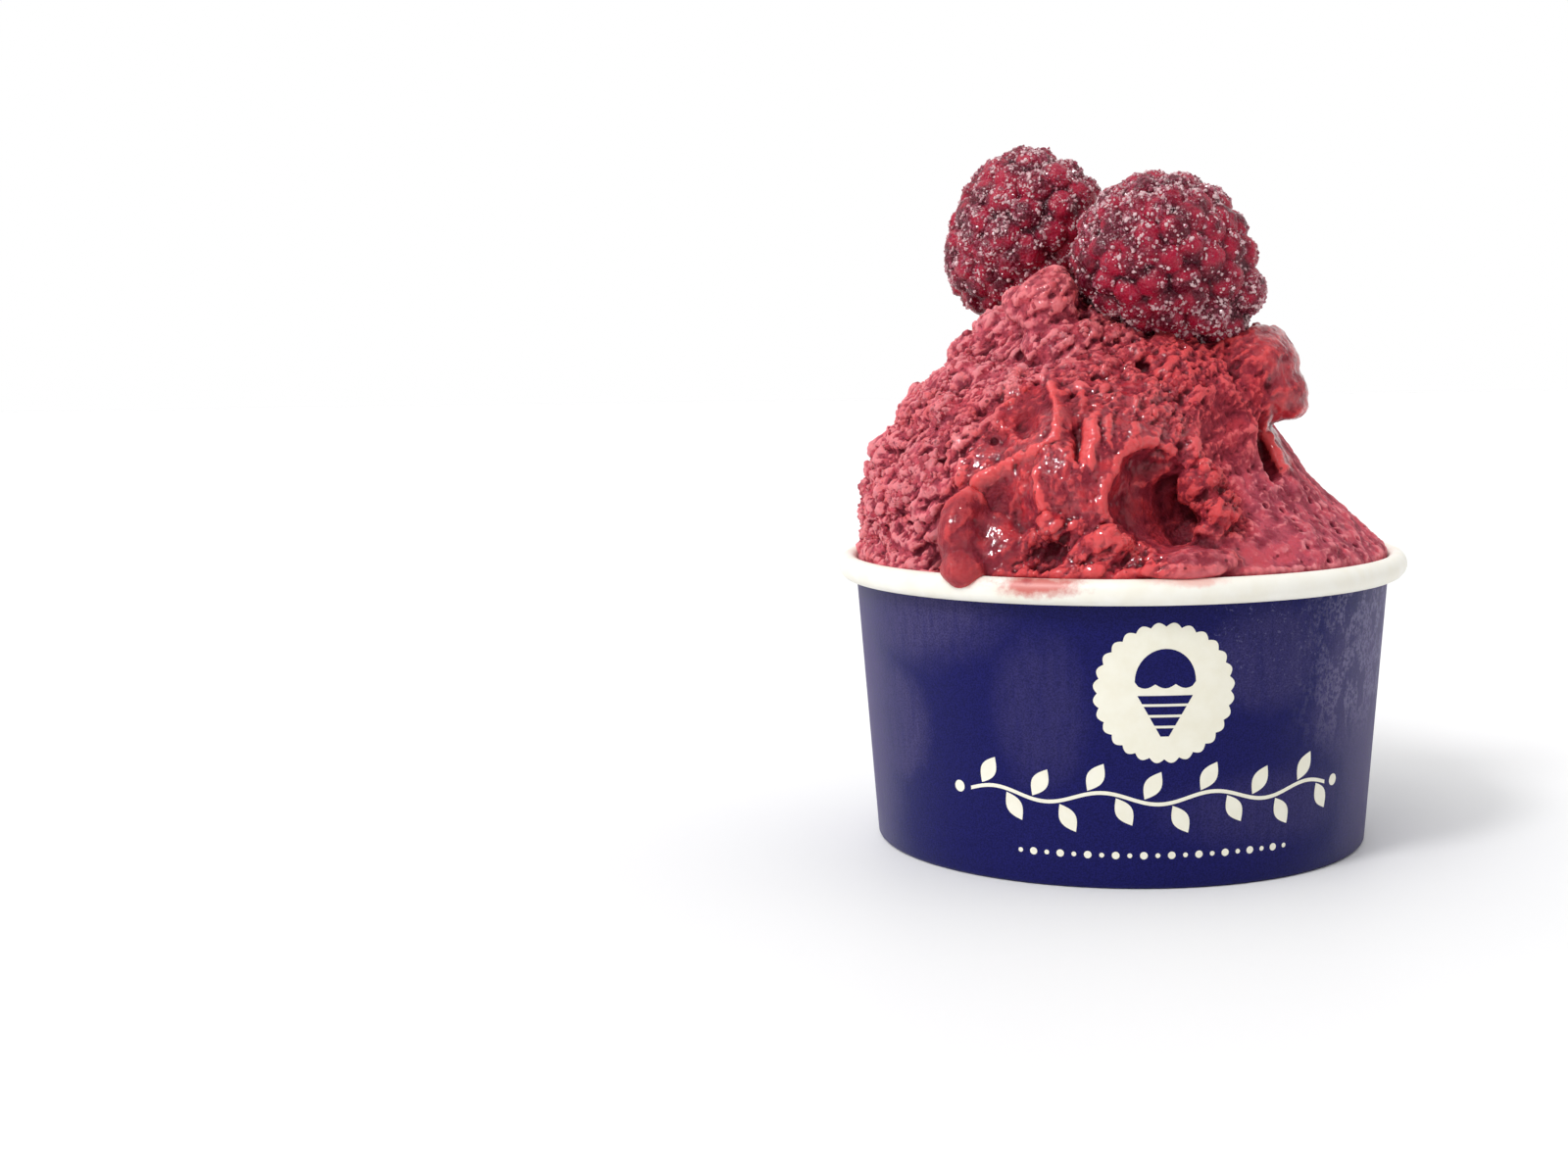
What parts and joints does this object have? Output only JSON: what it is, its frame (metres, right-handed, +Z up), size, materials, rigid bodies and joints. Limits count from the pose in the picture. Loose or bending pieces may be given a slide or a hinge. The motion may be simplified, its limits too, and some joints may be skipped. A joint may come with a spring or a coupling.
{
  "type": "gelato cup",
  "caption": "Small round paper cup with a rolled rim, heaped with raspberry gelato and topped with frozen raspberries.",
  "frame": {"origin": "centre of the cup's base, on the table", "axes": "+Z up along the cup's axis; the printed front faces -Y; +X is to the right of someone who looks at the front"},
  "size_m": [0.0798, 0.08, 0.0989],
  "materials": {
    "printed_paper": "coated paper printed navy, with a bare white rolled rim",
    "white_paper": "coated off-white paper",
    "gelato_red": "raspberry gelato, matt and crumbly in places, wet and smooth where it was spread",
    "berry_red": "frozen raspberry under a coat of ice crystals"
  },
  "bodies": {
    "root": {"cup_wall": "printed_paper", "cup_bottom": "white_paper", "gelato": "gelato_red", "raspberry_left": "berry_red", "raspberry_right": "berry_red"}
  },
  "joints": []
}
